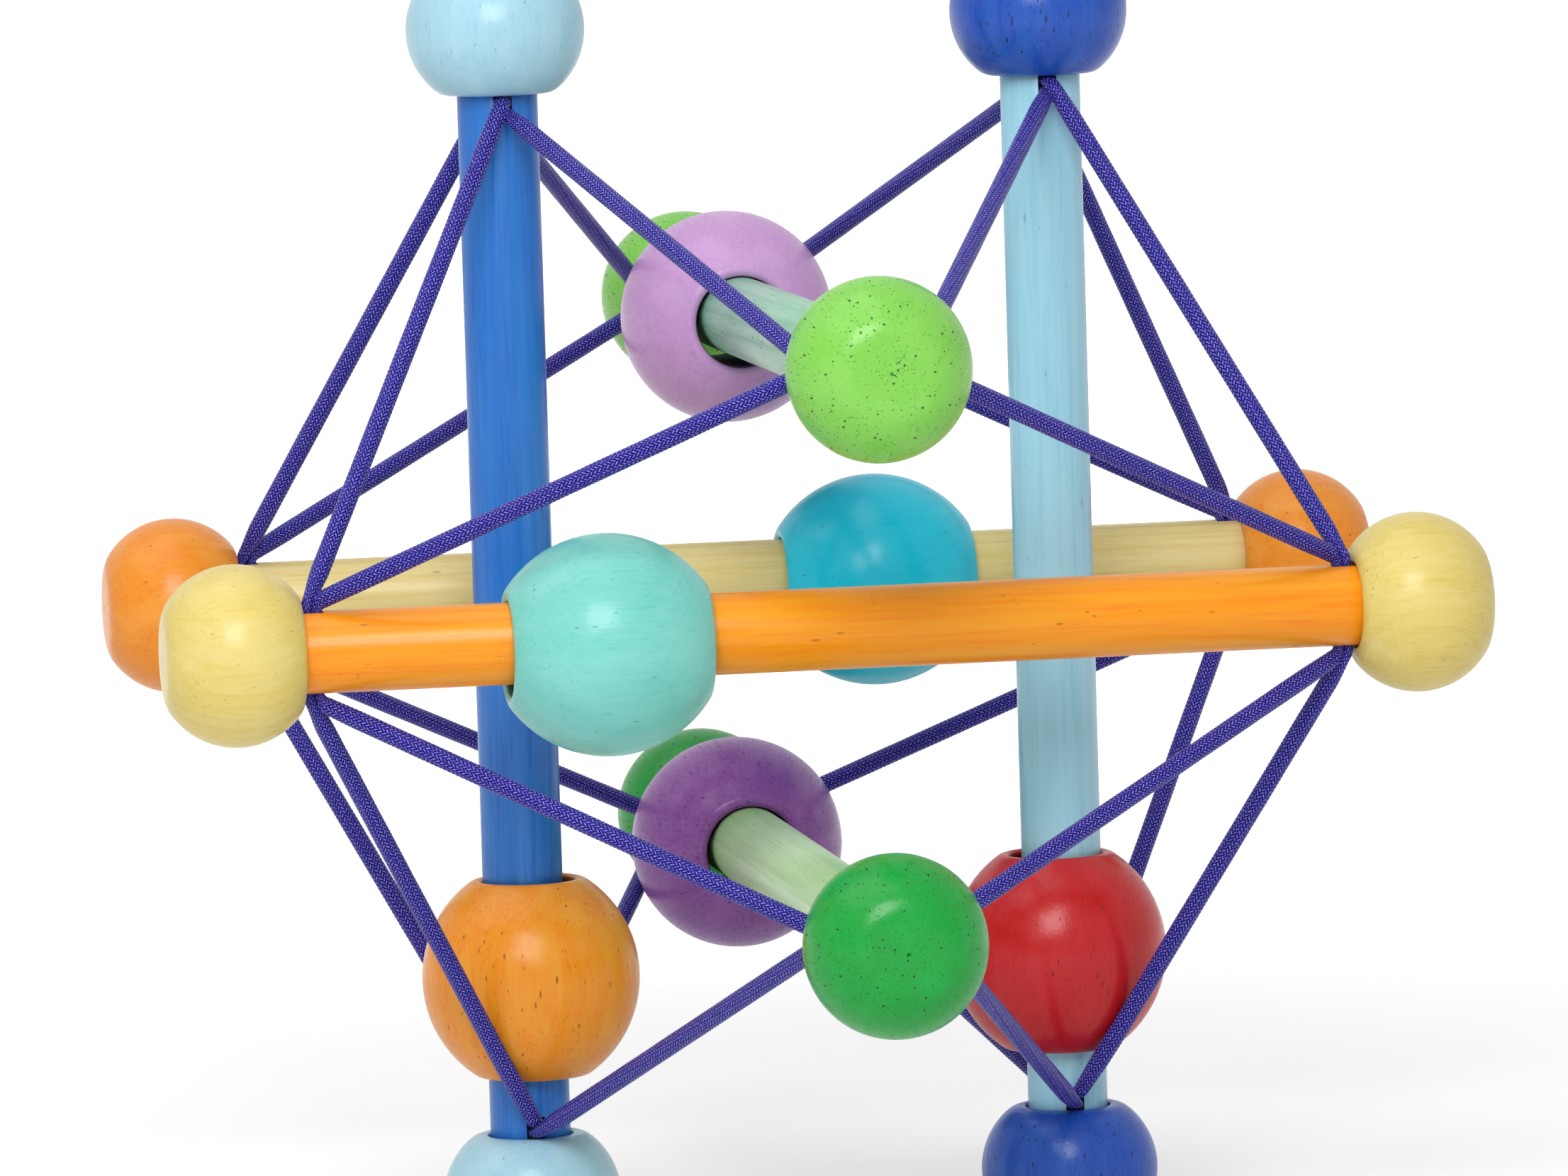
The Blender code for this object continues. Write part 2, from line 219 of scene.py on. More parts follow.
def a_colour(name, hex_code):
    """A colour that a user may change."""
    return FloatVectorProperty(name=name, description="Colour of the " + name.lower(),
                               default=linear_colour(hex_code), min=0, max=1,
                               subtype="COLOR")


def a_group(group, name):
    """A group of settings, with its docstring for a description."""
    return PointerProperty(type=group, name=name, description=group.__doc__)


class DowelSizes(bpy.types.PropertyGroup):
    """Sizes of the six dowels."""

    diameter: a_size("Diameter", "Thickness of a dowel", ROD_HIGH.x - ROD_LOW.x)
    length: a_size("Length", "Length of a dowel with both ends", ROD_HIGH.z - ROD_LOW.z)
    spacing: a_size("Spacing", "Distance between paired dowels", PAIR_HIGH.x - ROD_HIGH.x)
    edge: a_size("End edge", "Width of the bevel on a dowel's end", 0.0006)
    slot_width: a_size("Slot width", "Width of the sawn slot", 0.0022)
    slot_floor: a_size("Slot floor", "Distance of the slot's floor from the middle", 0.05915)
    sides: a_count("Sides", "Flats round a dowel", SIDES)


class KnobSizes(bpy.types.PropertyGroup):
    """Sizes of the twelve turned knobs."""

    diameter: a_size("Diameter", "Widest place of a knob", KNOB_HIGH.x - KNOB_LOW.x)
    mouth: a_size("Mouth", "Distance of a knob's mouth from the middle", KNOB_LOW.z)
    end: a_size("End", "Distance of a knob's flat end from the middle", KNOB_HIGH.z)
    end_rise: a_size("End rise", "Height of the flat end over the widest place", 0.0085)
    end_flat: a_size("End flat", "Diameter of the flat on the closed end", 0.00974)
    end_crown: a_size("End crown", "How far the flat end swells", 0.00015)
    end_edge: a_size("End edge", "Width of the rounding round the flat end", 0.0007)
    mouth_edge: a_size("Mouth edge", "Width of the rounding round the mouth", 0.0007)
    socket: a_size("Socket", "Diameter of the bore that takes the dowel", 0.0101)
    socket_depth: a_size("Socket depth", "Depth of that bore", 0.0088)
    socket_edge: a_size("Socket edge", "Width of the edge round the socket", 0.00025)
    mark: a_size("Centre mark", "Radius of the lathe's mark", 0.00036)
    mark_depth: a_size("Mark depth", "Depth of the lathe's mark", 0.0004)
    sides: a_count("Sides", "Flats round a knob", SIDES)


class BeadSizes(bpy.types.PropertyGroup):
    """Sizes of the six turned beads."""

    diameter: a_size("Diameter", "Widest place of a bead", BEAD_HIGH.x - BEAD_LOW.x)
    length: a_size("Length", "Length of a bead", BEAD_HIGH.z - BEAD_LOW.z)
    bore: a_size("Bore", "Diameter of the hole through a bead", 0.0109)
    mouth_lip: a_size("Mouth lip", "Width of the flat ring round the bore", 0.00114)
    outer_edge: a_size("Outer edge", "Width of the rounding outside the ring", 0.0004)
    bore_edge: a_size("Bore edge", "Width of the rounding inside the ring", 0.0007)
    sides: a_count("Sides", "Flats round a bead", SIDES)


class CordSizes(bpy.types.PropertyGroup):
    """Sizes of the six loops of braided elastic cord."""

    diameter: a_size("Diameter", "Thickness of the stretched cord", 0.0022)
    outer_seat: a_size("Outer seat", "How far out a slot's outer cord lies", 0.0610)
    inner_seat: a_size("Inner seat", "How far out a slot's inner cord lies", 0.0598)
    side_step: a_size("Side step", "How far a cord lies to its side of the slot", 0.0001)
    bend: a_size("Bend", "Radius of the bend at a slot's mouth", 0.0016)
    bead_bend: a_size("Bead bend", "Radius of the bend on a bead", 0.014)
    squeezed_height: a_level("Squeezed height", "Share of its height kept in a slot", 0.55)
    squeezed_width: a_level("Squeezed width", "Share of its width kept in a slot", 0.9)
    squeeze_near: a_size("Squeeze near", "How far along a slot the squeeze is full", 0.0050)
    squeeze_far: a_size("Squeeze far", "How far along a slot the squeeze ends", 0.0098)
    stitch: a_size("Stitch", "Length of one stitch of the braid", 0.00055)
    relief: a_size("Relief", "How far a strand stands proud of the gaps", 0.00007)
    turn_length: a_size("Turn length", "Length in which the braid turns once", 0.140)
    strands: a_count("Strands", "Columns of stitches round the cord", 16)


class StainColours(bpy.types.PropertyGroup):
    """Colours of the wood's stains, of the bare wood and of the cord."""

    bare_wood: a_colour("Bare wood under every stain", "#B98A4E")
    strand: a_colour("Cord's strands", "#362CC4")
    # The gap colour is painted shade in the gaps between the strands
    strand_gap_shade: a_colour("Gaps between the cord's strands", "#0E0848")
    # The sheen colour tints the cord's gloss, and is also mixed into the stitches' crests as a
    # painted highlight
    strand_sheen: a_colour("Lit filaments of the cord", "#9E96FF")


for slot, wood_stain in STAINS.items():
    wood = slot.replace("_", " ").capitalize()
    StainColours.__annotations__[slot] = a_colour(wood, wood_stain.colour)


class StudioSettings(bpy.types.PropertyGroup):
    """Camera, lamps and floor."""

    yaw: an_angle("Yaw", "How far left of the front the camera stands", 9.37)
    elevation: an_angle("Elevation", "How far above level the camera stands", 5.39)
    roll: an_angle("Roll", "How far the camera leans", 1.72)
    distance: a_size("Distance", "Distance of the camera from the toy's middle", 1.228)
    target_height: a_size("Target height", "Height that the camera looks at", 0.00186)
    focal_length: a_level("Focal length", "Focal length of the lens in millimetres", 237.6)
    key_size: a_size("Key size", "Width of the main softbox", 0.31)
    key_power: a_level("Key power", "Power of the main softbox in watts", 2.7)
    top_size: a_size("Top size", "Width of the softbox overhead", 0.8)
    top_power: a_level("Top power", "Power of the softbox overhead in watts", 2.6)
    sky_strength: a_level("Sky strength", "Strength of the light from all round", 0.37)
    near_glow: a_level("Near glow", "How far the floor by the toy is lifted", 0.33)
    far_glow: a_level("Far glow", "How far the floor far off is lifted", 1.0)
    glow_start: a_size("Glow start", "How far off the floor starts to be lifted more", 0.18)
    glow_end: a_size("Glow end", "How far off the floor is lifted in full", 0.60)
    floor_size: a_size("Floor size", "Width of the studio floor", 30.0)


class RattleSettings(bpy.types.PropertyGroup):
    """All that a user may change."""

    dowel: a_group(DowelSizes, "Dowels")
    knob: a_group(KnobSizes, "Knobs")
    bead: a_group(BeadSizes, "Beads")
    cord: a_group(CordSizes, "Cords")
    colours: a_group(StainColours, "Colours")
    studio: a_group(StudioSettings, "Studio")


# Places and turns of the struts


def strut_axes(strut):
    """The world vectors of a dowel's length, of its set-off, and of its slots."""
    return [AXIS_VECTORS[letter] for letter in AXES_IN_TURN[strut.along]]


def strut_turn(strut):
    """The turn that lays a piece modelled upright along its dowel."""
    length, off, slot = strut_axes(strut)
    return Matrix((off, slot, length)).transposed().to_4x4()


def strut_middle(strut, dowel):
    """The middle of a dowel."""
    return strut_axes(strut)[1] * strut.side * dowel.spacing / 2


def node_middle(name):
    """The middle of a node's box."""
    low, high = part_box(name)
    return (low + high) / 2


# Modelling tools, used as by hand


def select_only(piece):
    """Select one piece and make it active, so that an operator acts on it alone."""
    bpy.ops.object.select_all(action="DESELECT")
    piece.select_set(True)
    bpy.context.view_layer.objects.active = piece


def named_active(name):
    """Name the piece that an operator has just made."""
    piece = bpy.context.active_object
    piece.name = name
    piece.data.name = name
    return piece


def new_primitive(add, name, location=(0, 0, 0), **settings):
    """Add a primitive by its operator and name it."""
    bpy.ops.object.select_all(action="DESELECT")
    add(location=location, **settings)
    return named_active(name)


def settle(piece, matrix=None):
    """Put a piece in its place, with the place in its mesh, and shade it smooth."""
    select_only(piece)
    if matrix is not None:
        piece.matrix_world = matrix @ piece.matrix_world
    bpy.ops.object.transform_apply(location=True, rotation=True, scale=True)
    bpy.ops.object.shade_smooth_by_angle(angle=radians(SMOOTH_DEGREES))
    return piece


def copy_of(piece, name):
    """A copy of a finished shape with its own mesh."""
    select_only(piece)
    bpy.ops.object.duplicate(linked=False)
    return named_active(name)


def remove(piece):
    """Delete a pattern piece once its copies are made."""
    select_only(piece)
    bpy.ops.object.delete()


def turned(name, profile, sides):
    """Draw a profile of (radius, height) points by extruding a vertex, and spin it."""
    piece = new_primitive(bpy.ops.mesh.primitive_plane_add, name, size=MILLIMETRE)
    bpy.ops.object.mode_set(mode="EDIT")
    bpy.ops.mesh.select_mode(type="VERT")
    bpy.ops.mesh.select_all(action="SELECT")
    bpy.ops.mesh.merge(type="CENTER")
    points = [Vector((radius, 0, height)) for radius, height in profile]
    bpy.ops.transform.translate(value=points[0])
    for here, there in zip(points, points[1:]):
        bpy.ops.mesh.extrude_region_move(TRANSFORM_OT_translate={"value": there - here})
    bpy.ops.mesh.select_all(action="SELECT")
    bpy.ops.mesh.spin(steps=sides, angle=2 * pi, center=(0, 0, 0), axis=(0, 0, 1))
    bpy.ops.mesh.select_all(action="SELECT")
    bpy.ops.mesh.remove_doubles(threshold=WELD_DISTANCE)
    bpy.ops.mesh.normals_make_consistent(inside=False)
    bpy.ops.object.mode_set(mode="OBJECT")
    return piece


def round_rim(piece, radius, height, width, segments):
    """Bevel the rim at a radius and a height of a turned piece."""
    def on_rim(place):
        away = abs(sqrt(place.x ** 2 + place.y ** 2) - radius)
        return max(away, abs(place.z - height)) < WELD_DISTANCE * 2

    mesh = piece.data
    for group in (mesh.polygons, mesh.edges, mesh.vertices):
        group.foreach_set("select", [False] * len(group))
    for edge in mesh.edges:
        edge.select = all(on_rim(mesh.vertices[i].co) for i in edge.vertices)
    bpy.ops.object.mode_set(mode="EDIT")
    bpy.ops.mesh.select_mode(type="EDGE")
    bpy.ops.mesh.bevel(offset=width, segments=segments, affect="EDGES")
    bpy.ops.object.mode_set(mode="OBJECT")


def arc_profile(widest, side, high, low):
    """Points down the side of a turned piece: one arc from its high to its low end."""
    first = asin(high / side)
    last = asin(low / side)
    turns = [first + (last - first) * i / ARC_STEPS for i in range(ARC_STEPS + 1)]
    return [(widest - side + side * cos(turn), side * sin(turn)) for turn in turns]


def arc_radius(inset, rise):
    """The radius of the arc that drops by an inset where it has risen by a height."""
    return (inset ** 2 + rise ** 2) / (2 * inset)


# The three turned shapes, each modelled upright about the origin


def model_knob(knob):
    """A knob about its widest place, closed end up, with the lathe's mark on its end."""
    widest = knob.diameter / 2
    side = arc_radius(widest - knob.end_flat / 2, knob.end_rise)
    high = knob.end_rise
    low = high - (knob.end - knob.mouth)
    rim = knob.end_flat / 2
    mouth_rim = widest - side + sqrt(side ** 2 - low ** 2)
    floor = low + knob.socket_depth
    bore = knob.socket / 2
    rim_height = high - knob.end_crown
    end = [(0, high - knob.mark_depth), (knob.mark, high)]
    end += [(rim * share, high - knob.end_crown * share ** 2) for share in CROWN_SHARES]
    arc = arc_profile(widest, side, high - knob.end_edge, low + knob.mouth_edge * KNOB_STOP)
    socket = [(bore, low), (bore, floor), (0, floor)]
    profile = end + [(rim, rim_height)] + arc + [(mouth_rim, low)] + socket
    piece = turned("knob_pattern", profile, knob.sides)
    round_rim(piece, rim, rim_height, knob.end_edge, RIM_SEGMENTS)
    round_rim(piece, mouth_rim, low, knob.mouth_edge, RIM_SEGMENTS)
    round_rim(piece, bore, low, knob.socket_edge, EDGE_SEGMENTS)
    return piece


def model_bead(bead):
    """A bead about its middle, with a flat ring round each mouth of its bore."""
    widest = bead.diameter / 2
    half = bead.length / 2
    bore = bead.bore / 2
    rim = bore + bead.mouth_lip
    side = arc_radius(widest - rim, half)
    end = half - bead.outer_edge * BEAD_STOP
    arc = arc_profile(widest, side, end, -end)
    profile = [(rim, half)] + arc + [(rim, -half), (bore, -half), (bore, half), (rim, half)]
    piece = turned("bead_pattern", profile, bead.sides)
    for height in (half, -half):
        round_rim(piece, rim, height, bead.outer_edge, LIP_SEGMENTS)
        round_rim(piece, bore, height, bead.bore_edge, BORE_SEGMENTS)
    return piece


def model_dowel(dowel):
    """A dowel about its middle, with a sawn slot across either end."""
    half = dowel.length / 2
    radius = dowel.diameter / 2
    piece = new_primitive(bpy.ops.mesh.primitive_cylinder_add, "dowel_pattern",
                          vertices=dowel.sides, radius=radius, depth=dowel.length)
    for height in (half, -half):
        round_rim(piece, radius, height, dowel.edge, EDGE_SEGMENTS)
    for end in (1, -1):
        cut_slot(piece, dowel, end)
    return piece


def cut_slot(piece, dowel, end):
    """Saw the slot across one end of a dowel, with a saw that stands out by 1 mm."""
    depth = dowel.length / 2 - dowel.slot_floor + MILLIMETRE
    cutter = new_primitive(bpy.ops.mesh.primitive_cube_add, "saw", size=1)
    cutter.scale = (dowel.slot_width, dowel.diameter * 2, depth)
    cutter.location.z = end * (dowel.slot_floor + depth / 2)
    settle(cutter)
    cut = piece.modifiers.new("slot", "BOOLEAN")
    cut.object = cutter
    cut.solver = "EXACT"
    select_only(piece)
    bpy.ops.object.modifier_apply(modifier=cut.name)
    remove(cutter)


# Cords, as mesh code


def slot_seats(along, end, cord):
    """How far from the middle a dowel's own cord and the passing one lie in a slot."""
    seats = (cord.inner_seat, cord.outer_seat)
    return seats[::-1] if (along, end) == OUTER_OWN else seats


def passing_seat(strut, cord):
    """How far from the middle a dowel's own loop passes through its neighbours' slots."""
    return slot_seats(AXES_IN_TURN[strut.along][1], strut.side, cord)[1]


def natural_reach(cord, dowel, along):
    """How far a cord runs straight past the middle of a slot before it bends away."""
    offset = dowel.spacing / 2
    radius = dowel.diameter / 2
    here = Vector((offset, radius, cord.outer_seat))
    there = Vector((cord.inner_seat, offset, radius))
    turn = (there - here).angle(AXIS_VECTORS[along])
    return radius + cord.bend * tan(min(turn, pi - turn) / 2)


def cord_slots(strut, cord, dowel):
    """The four slots that a loop runs through: the middle of its run and three axes.

    The axes are the slotted dowel's length, the way across the slot, and the way
    through it. The first two slots are the dowel's own and the others a neighbour's.
    """
    length, off, slot = strut_axes(strut)
    outward = off * strut.side
    offset = dowel.spacing / 2
    passing = passing_seat(strut, cord)
    slots = []
    for end in (1, -1):
        own = slot_seats(strut.along, end, cord)[0]
        middle = length * end * own + outward * (offset + cord.side_step)
        slots.append((middle, length, off, slot))
    for front in (1, -1):
        middle = outward * passing + slot * front * (offset - cord.side_step)
        slots.append((middle, off, slot, length))
    return slots


def cord_corners(strut, cord, dowel, bead):
    """The corners of a dowel's own cord loop in order, each with its bend."""
    reaches = [natural_reach(cord, dowel, along) for along in "yyzz"]
    high, low, front, back = (
        [(middle + through * side * reach, cord.bend) for side in (1, -1)]
        for (middle, _, _, through), reach in zip(cord_slots(strut, cord, dowel), reaches)
    )

    def leans(end, here, there):
        if (strut.along, end) not in LEANING_BEADS:
            return []
        return [(bead_contact(strut, cord, bead, here[0], there[0]), cord.bead_bend)]

    return (high[:1] + leans(1, high[0], front[0]) + front
            + leans(-1, low[0], front[1]) + low + leans(-1, low[1], back[1])
            + back[::-1] + leans(1, high[1], back[0]) + high[1:])


def bead_contact(strut, cord, bead, here, there):
    """Where the bead at rest pushes the cord between two corners out of line."""
    length = strut_axes(strut)[0]
    middle = node_middle(strut.bead)
    axis_point = middle - length * middle.dot(length)
    inset = bead.diameter / 2 - bead.bore / 2 - bead.mouth_lip
    side = arc_radius(inset, bead.length / 2)
    nearest = None
    for step in range(1, CONTACT_STEPS):
        place = here.lerp(there, step / CONTACT_STEPS)
        rise = place.dot(length) - middle.dot(length)
        out = place - length * place.dot(length) - axis_point
        away = Vector((out.length + side - bead.diameter / 2, rise))
        if nearest is None or away.length < nearest[0]:
            nearest = (away.length, place, out.normalized() * away.x + length * rise)
    distance, place, push = nearest
    return place + push * max(0.0, (side + cord.diameter / 2) / distance - 1)


def rounded_path(corners):
    """A closed path through the corners, with an arc at each, as an array of points."""
    points = []
    count = len(corners)
    for i, (corner, bend) in enumerate(corners):
        back = (corners[i - 1][0] - corner).normalized()
        ahead = (corners[(i + 1) % count][0] - corner).normalized()
        turn = pi - back.angle(ahead)
        centre = corner + (back + ahead).normalized() * bend / cos(turn / 2)
        run = bend * tan(turn / 2)
        first = (corner + back * run - centre).normalized()
        last = (corner + ahead * run - centre).normalized()
        for step in range(ARC_POINTS + 1):
            points.append(centre + first.slerp(last, step / ARC_POINTS) * bend)
    return np.array(points)


def even_path(points, closed, stitch):
    """The path again with evenly spaced points, a whole number of stitches long."""
    if closed:
        points = np.vstack([points, points[:1]])
    steps = np.linalg.norm(np.diff(points, axis=0), axis=1)
    along = np.concatenate([[0], np.cumsum(steps)])
    stitches = round(along[-1] / stitch)
    marks = np.linspace(0, along[-1], stitches * RINGS_PER_STITCH + 1)
    even = np.stack([np.interp(marks, along, points[:, axis]) for axis in range(3)], axis=1)
    return (even[:-1] if closed else even), stitches


def path_frames(points, closed):
    """Tangents and two normals at each point, carried along the path without a twist."""
    if closed:
        tangents = np.roll(points, -1, axis=0) - np.roll(points, 1, axis=0)
    else:
        tangents = np.gradient(points, axis=0)
    tangents /= np.linalg.norm(tangents, axis=1)[:, None]
    normal = np.cross(tangents[0], SKEW)
    normals = [normal / np.linalg.norm(normal)]
    for tangent in tangents[1:]:
        normal = normals[-1] - tangent * np.dot(normals[-1], tangent)
        normals.append(normal / np.linalg.norm(normal))
    normals = np.array(normals)
    return tangents, normals, np.cross(tangents, normals)


def squeezed(offsets, points, slots, cord):
    """The tube's offsets from its path, flattened where it is pressed into a slot."""
    for middle, length, across, _ in slots:
        away = np.linalg.norm(points - np.array(middle), axis=1)
        share = np.clip((cord.squeeze_far - away) / (cord.squeeze_far - cord.squeeze_near), 0, 1)
        share = (share * share * (3 - 2 * share))[:, None, None]
        for axis, kept in ((length, cord.squeezed_height), (across, cord.squeezed_width)):
            off_axis = (offsets @ np.array(axis))[:, :, None] * np.array(axis)
            offsets = offsets - off_axis * share * (1 - kept)
    return offsets


def braided_tube(name, points, closed, cord, slots):
    """A tube of braided strands along a path: columns of stitches that alternate."""
    points, stitches = even_path(points, closed, cord.stitch)
    tangents, first, second = path_frames(points, closed)
    rings = len(points)
    sides = cord.strands * 2
    slip = 0.0
    if closed:
        carried = first[-1] - tangents[0] * np.dot(first[-1], tangents[0])
        slip = np.arctan2(np.dot(carried, second[0]), np.dot(carried, first[0]))
    length = stitches * cord.stitch
    turns = round(length / cord.turn_length) if closed else length / cord.turn_length
    ring = np.arange(rings)[:, None]
    side = np.arange(sides)[None, :]
    share = ring / rings
    angle = 2 * pi * (side / sides + turns * share) - slip * share
    column = side // 2
    phase = ring / RINGS_PER_STITCH + 0.5 * (column % 2)
    crest = 0.5 + 0.5 * np.cos(2 * pi * phase)
    proud = np.where(side % 2 == 1, STRAND_DIP + (1 - STRAND_DIP) * crest, 0.0)
    radius = cord.diameter / 2 + cord.relief * (proud - STRAND_MEAN)
    offsets = (
        first[:, None, :] * (np.cos(angle) * radius)[:, :, None]
        + second[:, None, :] * (np.sin(angle) * radius)[:, :, None]
    )
    verts = (points[:, None, :] + squeezed(offsets, points, slots, cord)).reshape(-1, 3)
    spans = rings if closed else rings - 1
    ring = np.arange(spans)[:, None]
    ahead = (ring + 1) % rings
    beside = (side + 1) % sides
    corners = (ring * sides + side, ring * sides + beside,
               ahead * sides + beside, ahead * sides + side)
    faces = np.stack(np.broadcast_arrays(*corners), axis=2).reshape(-1, 4).tolist()
    across = np.broadcast_to(side / sides, (spans, sides))
    along = np.broadcast_to(ring / RINGS_PER_STITCH, (spans, sides))
    uvs = np.stack([
        np.stack([across + right / sides, along + up / RINGS_PER_STITCH], axis=2)
        for right, up in ((0, 0), (1, 0), (1, 1), (0, 1))
    ], axis=2).reshape(-1, 2)
    if not closed:
        faces.append(list(range(sides))[::-1])
        faces.append([(rings - 1) * sides + i for i in range(sides)])
        uvs = np.vstack([uvs, np.zeros((2 * sides, 2))])
    mesh = bpy.data.meshes.new(name)
    mesh.from_pydata(verts.tolist(), [], faces)
    layer = mesh.uv_layers.new(name="braid")
    layer.data.foreach_set("uv", uvs.astype(np.float32).ravel())
    mesh.shade_smooth()
    piece = bpy.data.objects.new(name, mesh)
    bpy.context.scene.collection.objects.link(piece)
    return piece


# Materials

# How a Map Range node eases, what a Mix node mixes, and what a Math node works out
EASED = {"interpolation_type": "SMOOTHSTEP"}
COLOURS = {"data_type": "RGBA"}
PLUS = {"operation": "ADD"}
MINUS = {"operation": "SUBTRACT"}
TIMES = {"operation": "MULTIPLY"}

# A Mix node's sockets for the share and for the two colours
SHARE, FIRST, SECOND = 0, 6, 7


def set_inputs(node, inputs):
    """Set or link inputs, by name or number in a dictionary, or listed from the first on."""
    for socket, value in inputs.items() if isinstance(inputs, dict) else enumerate(inputs):
        if isinstance(value, bpy.types.NodeSocket):
            node.id_data.links.new(value, node.inputs[socket])
        else:
            node.inputs[socket].default_value = value


def add_node(tree, kind, inputs=(), **settings):
    """Add a node with its settings and its inputs' values or links, for its outputs."""
    node = tree.nodes.new("ShaderNode" + kind)
    for name, value in settings.items():
        setattr(node, name, value)
    set_inputs(node, inputs)
    return node.outputs


def new_material(name):
    """A material, its bare Principled shader, and the call that adds nodes to it."""
    material = bpy.data.materials.new(name)
    material.use_nodes = True
    tree = material.node_tree
    return material, tree.nodes["Principled BSDF"], partial(add_node, tree)


def paint(piece, material):
    """Give a piece its one material."""
    piece.data.materials.clear()
    piece.data.materials.append(material)


def shade(colour, share, towards=(0, 0, 0)):
    """A colour taken a share of the way towards another, as four channels."""
    return [c + (t - c) * share for c, t in zip(colour, towards)] + [1]


def wood_figure(add, place):
    """The wood's fibres, its clouds and its growth rings, from a place in millimetres."""
    # Fibres 0.4 mm wide and some 12 mm long
    fibres = add("TexNoise", {
        "Vector": add("Mapping", {"Vector": place, "Scale": (1, 1, 0.035)})[0],
        "Scale": 2.4, "Detail": 3, "Roughness": 0.62, "Distortion": 0.2,
    })[0]

    # Broad patches that took the stain unevenly, 3 to 5 mm wide
    clouds = add("TexNoise", {
        "Vector": add("Mapping", {"Vector": place, "Scale": (1, 1, 0.12)})[0],
        "Scale": 0.28, "Detail": 2, "Roughness": 0.5,
    })[0]

    # Growth rings 1.7 mm apart, about a heart that lies well outside the piece
    ring_place = add("Mapping", {
        "Vector": place, "Location": (19, 7, 0), "Scale": (1, 1, 0.05),
    })[0]
    rings = add("TexWave", {
        "Vector": ring_place, "Scale": 0.185, "Distortion": 5, "Detail": 2, "Detail Scale": 0.25,
    }, wave_type="RINGS", rings_direction="Z")["Fac"]
    return fibres, clouds, rings


def wood_pores(add, place, from_axis, finish):
    """The wood's open pores, gathered in loose drifts and about a closed end's middle."""
    torn = add("MapRange", (from_axis, 0.4, 3.6, finish.torn, 0), **EASED)[0]
    drift = add("TexNoise", {"Vector": place, "Scale": 0.25, "Detail": 1})[0]
    centred = add("Math", (drift, 0.5), **MINUS)[0]
    drifted = add("Math", (centred, torn), **PLUS)[0]

    # Pores 0.1 to 0.3 mm across and up to 1 mm long
    pore_place = add("Mapping", {"Vector": place, "Scale": (1.5, 1.5, 0.4)})[0]
    cells = add("TexVoronoi", {"Vector": pore_place, "Scale": 1})
    chances = add("SeparateColor", (cells["Color"],))
    wanted = add("Math", (chances[0], drifted), **PLUS)[0]
    few = 1 - 0.6 * finish.pores
    opened = add("MapRange", (wanted, few, few + 0.06), **EASED)[0]
    widths = add("MapRange", (chances[1], 0, 1, 0.08, 0.26), **EASED)[0]
    relative = add("Math", (cells["Distance"], widths), operation="DIVIDE")[0]
    dots = add("MapRange", (relative, 0.55, 1.1, 1, 0), **EASED)[0]
    large_pores = add("Math", (dots, opened), **TIMES)[0]

    # Pin pricks 0.15 mm across between them
    cells = add("TexVoronoi", {"Vector": pore_place, "Scale": 1.8})
    chances = add("SeparateColor", (cells["Color"],))
    wanted = add("Math", (chances[0], drifted), **PLUS)[0]
    few = 1.02 - 0.45 * finish.pores
    opened = add("MapRange", (wanted, few, few + 0.08, 0, 0.8), **EASED)[0]
    dots = add("MapRange", (cells["Distance"], 0.12, 0.26, 1, 0), **EASED)[0]
    pricks = add("Math", (dots, opened), **TIMES)[0]
    return add("Math", (large_pores, pricks), operation="MAXIMUM")[0]


